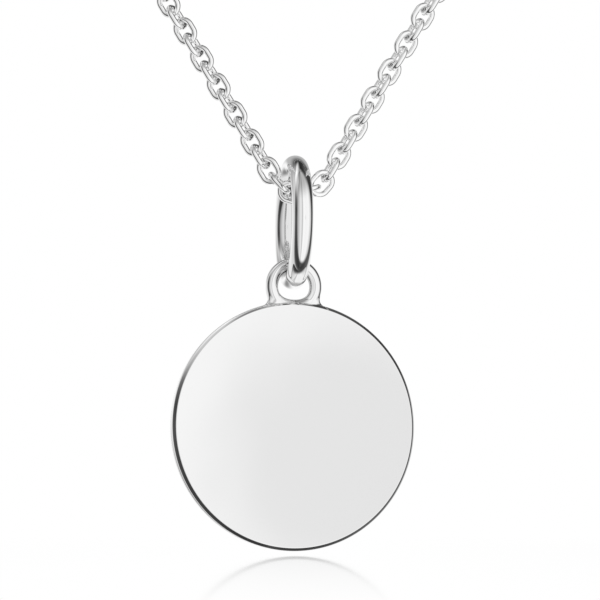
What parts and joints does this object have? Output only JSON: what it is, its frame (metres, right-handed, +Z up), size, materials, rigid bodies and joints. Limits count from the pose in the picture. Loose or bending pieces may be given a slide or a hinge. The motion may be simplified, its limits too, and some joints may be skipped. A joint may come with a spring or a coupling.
{
  "type": "disc pendant necklace",
  "caption": "Blank polished disc with a soldered wire loop, hung from a plain ring bail on a fine trace chain, with a barrel clasp at the nape.",
  "frame": {"origin": "middle of the clasp at the nape, where the necklace lies on the back of the neck", "axes": "+Z up as worn, -Y to the front where the pendant hangs, X across the neck"},
  "size_m": [0.1176, 0.0906, 0.1403],
  "materials": {
    "disc_silver": "mirror polished silver, blank on both faces",
    "bail_silver": "polished silver wire",
    "chain_silver": "bright polished silver wire",
    "clasp_silver": "polished silver"
  },
  "bodies": {
    "necklace": {"chain_front": "chain_silver", "chain_back": "chain_silver", "clasp": "clasp_silver"},
    "bail": {"bail": "bail_silver"},
    "disc": {"disc": "disc_silver"}
  },
  "joints": [
    {"name": "bail_swing", "type": "hinge", "parent": "necklace", "child": "bail", "pos_m": [0.00038, -0.085, -0.1159], "axis": [1, 0, 0], "range_deg": [-45, 45]},
    {"name": "disc_swing", "type": "hinge", "parent": "bail", "child": "disc", "pos_m": [0, -0.085, -0.1216], "axis": [-0.1564, 0.9877, 0], "range_deg": [-40, 40]}
  ]
}
